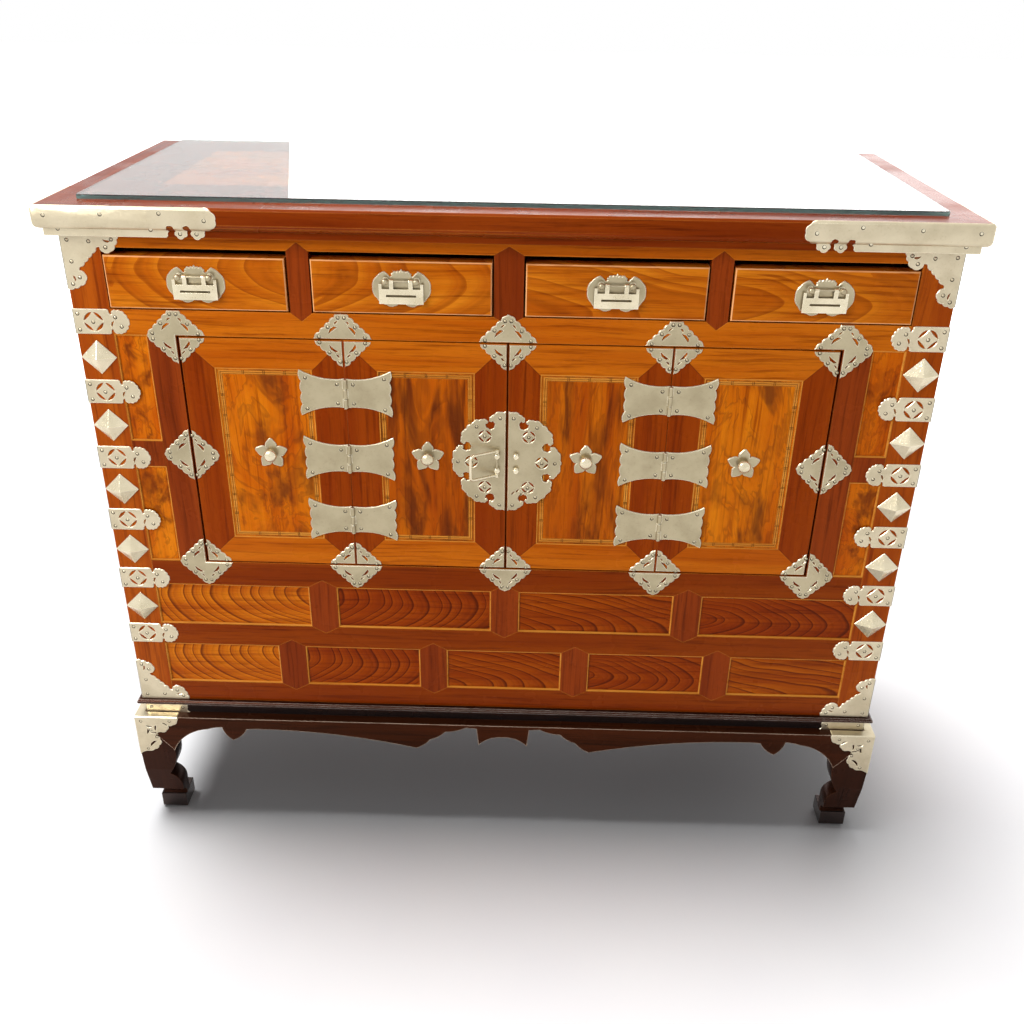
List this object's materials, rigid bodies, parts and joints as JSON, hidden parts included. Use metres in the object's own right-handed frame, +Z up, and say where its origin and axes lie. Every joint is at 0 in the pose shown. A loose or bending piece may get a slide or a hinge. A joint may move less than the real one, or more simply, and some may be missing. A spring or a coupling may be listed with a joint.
{
  "type": "chest",
  "caption": "Low wooden chest on a curved stand, with drawers above a cupboard of folding leaves, pale metal straps, hinges and flower lock, and a glass sheet on top.",
  "frame": {"origin": "on the floor, at the middle of the chest's outer box", "axes": "+X to the right as seen from the front, +Y to the back, +Z up; the front faces -Y"},
  "size_m": [1.0364, 0.4592, 0.88],
  "materials": {
    "frame_wood": "polished reddish dark brown",
    "rail_wood": "polished orange brown with straight grain",
    "panel_wood": "polished golden burl with dark clouds",
    "top_wood": "polished orange brown",
    "inner_wood": "plain pale wood",
    "stand_wood": "very dark brown, polished",
    "black_lacquer": "black, glossy",
    "pale_metal": "pale nickel and copper alloy, satin",
    "sheet_glass": "clear sheet with a greenish edge"
  },
  "bodies": {
    "case": {"corner_posts": "frame_wood", "front_rails": "rail_wood", "side_frames": "frame_wood", "side_panels": "panel_wood", "back_frame": "frame_wood", "back_panels": "inner_wood", "flank_frame": "frame_wood", "flank_panels": "panel_wood", "upper_row_panels": "panel_wood", "lower_row_panels": "panel_wood", "row_dividers": "frame_wood", "drawer_dividers": "rail_wood", "dust_board": "inner_wood", "bottom_board": "inner_wood", "drawer_guides": "inner_wood", "top_frame": "top_wood", "top_panel": "panel_wood", "glass_top": "sheet_glass", "stand_cap": "stand_wood", "stand_waist": "black_lacquer", "stand_aprons": "stand_wood", "stand_legs": "stand_wood", "foot_blocks": "black_lacquer", "top_straps": "pale_metal", "corner_plates": "pale_metal", "corner_straps": "pale_metal", "pyramid_studs": "pale_metal", "diamond_plates": "pale_metal", "waist_straps": "pale_metal", "leg_plates": "pale_metal"},
    "drawer_1": {"drawer_1_box": "inner_wood", "drawer_1_front": "rail_wood", "drawer_1_pull_plate": "pale_metal"},
    "drawer_1_handle": {"drawer_1_bail": "pale_metal"},
    "drawer_2": {"drawer_2_box": "inner_wood", "drawer_2_front": "rail_wood", "drawer_2_pull_plate": "pale_metal"},
    "drawer_2_handle": {"drawer_2_bail": "pale_metal"},
    "drawer_3": {"drawer_3_box": "inner_wood", "drawer_3_front": "rail_wood", "drawer_3_pull_plate": "pale_metal"},
    "drawer_3_handle": {"drawer_3_bail": "pale_metal"},
    "drawer_4": {"drawer_4_box": "inner_wood", "drawer_4_front": "rail_wood", "drawer_4_pull_plate": "pale_metal"},
    "drawer_4_handle": {"drawer_4_bail": "pale_metal"},
    "leaf_outer_left": {"leaf_outer_left_frame": "frame_wood", "leaf_outer_left_panel": "panel_wood", "leaf_outer_left_fittings": "pale_metal"},
    "leaf_inner_left": {"leaf_inner_left_frame": "frame_wood", "leaf_inner_left_panel": "panel_wood", "leaf_inner_left_fittings": "pale_metal"},
    "leaf_outer_right": {"leaf_outer_right_frame": "frame_wood", "leaf_outer_right_panel": "panel_wood", "leaf_outer_right_fittings": "pale_metal"},
    "leaf_inner_right": {"leaf_inner_right_frame": "frame_wood", "leaf_inner_right_panel": "panel_wood", "leaf_inner_right_fittings": "pale_metal"},
    "hasp": {"hasp": "pale_metal"}
  },
  "joints": [
    {"name": "drawer_1_slide", "type": "slide", "parent": "case", "child": "drawer_1", "axis": [0, -1, 0], "range_m": [0, 0.28]},
    {"name": "drawer_1_bail_hinge", "type": "hinge", "parent": "drawer_1", "child": "drawer_1_handle", "pos_m": [-0.35325, -0.2126, 0.79575], "axis": [-1, 0, 0], "range_deg": [0, 110]},
    {"name": "drawer_2_slide", "type": "slide", "parent": "case", "child": "drawer_2", "axis": [0, -1, 0], "range_m": [0, 0.28]},
    {"name": "drawer_2_bail_hinge", "type": "hinge", "parent": "drawer_2", "child": "drawer_2_handle", "pos_m": [-0.12075, -0.2126, 0.79575], "axis": [-1, 0, 0], "range_deg": [0, 110]},
    {"name": "drawer_3_slide", "type": "slide", "parent": "case", "child": "drawer_3", "axis": [0, -1, 0], "range_m": [0, 0.28]},
    {"name": "drawer_3_bail_hinge", "type": "hinge", "parent": "drawer_3", "child": "drawer_3_handle", "pos_m": [0.12075, -0.2126, 0.79575], "axis": [-1, 0, 0], "range_deg": [0, 110]},
    {"name": "drawer_4_slide", "type": "slide", "parent": "case", "child": "drawer_4", "axis": [0, -1, 0], "range_m": [0, 0.28]},
    {"name": "drawer_4_bail_hinge", "type": "hinge", "parent": "drawer_4", "child": "drawer_4_handle", "pos_m": [0.35325, -0.2126, 0.79575], "axis": [-1, 0, 0], "range_deg": [0, 110]},
    {"name": "outer_left_pivot", "type": "hinge", "parent": "case", "child": "leaf_outer_left", "pos_m": [-0.3745, -0.1984, 0.573], "axis": [0, 0, -1], "range_deg": [0, 90]},
    {"name": "inner_left_fold", "type": "hinge", "parent": "leaf_outer_left", "child": "leaf_inner_left", "pos_m": [-0.19162, -0.2071, 0.573], "axis": [0, 0, -1], "range_deg": [0, 140]},
    {"name": "outer_right_pivot", "type": "hinge", "parent": "case", "child": "leaf_outer_right", "pos_m": [0.3745, -0.1984, 0.573], "axis": [0, 0, 1], "range_deg": [0, 90]},
    {"name": "inner_right_fold", "type": "hinge", "parent": "leaf_outer_right", "child": "leaf_inner_right", "pos_m": [0.19162, -0.2071, 0.573], "axis": [0, 0, 1], "range_deg": [0, 140]},
    {"name": "hasp_hinge", "type": "hinge", "parent": "leaf_inner_left", "child": "hasp", "pos_m": [-0.0115, -0.2086, 0.573], "axis": [0, 0, 1], "range_deg": [-30, 150]}
  ]
}
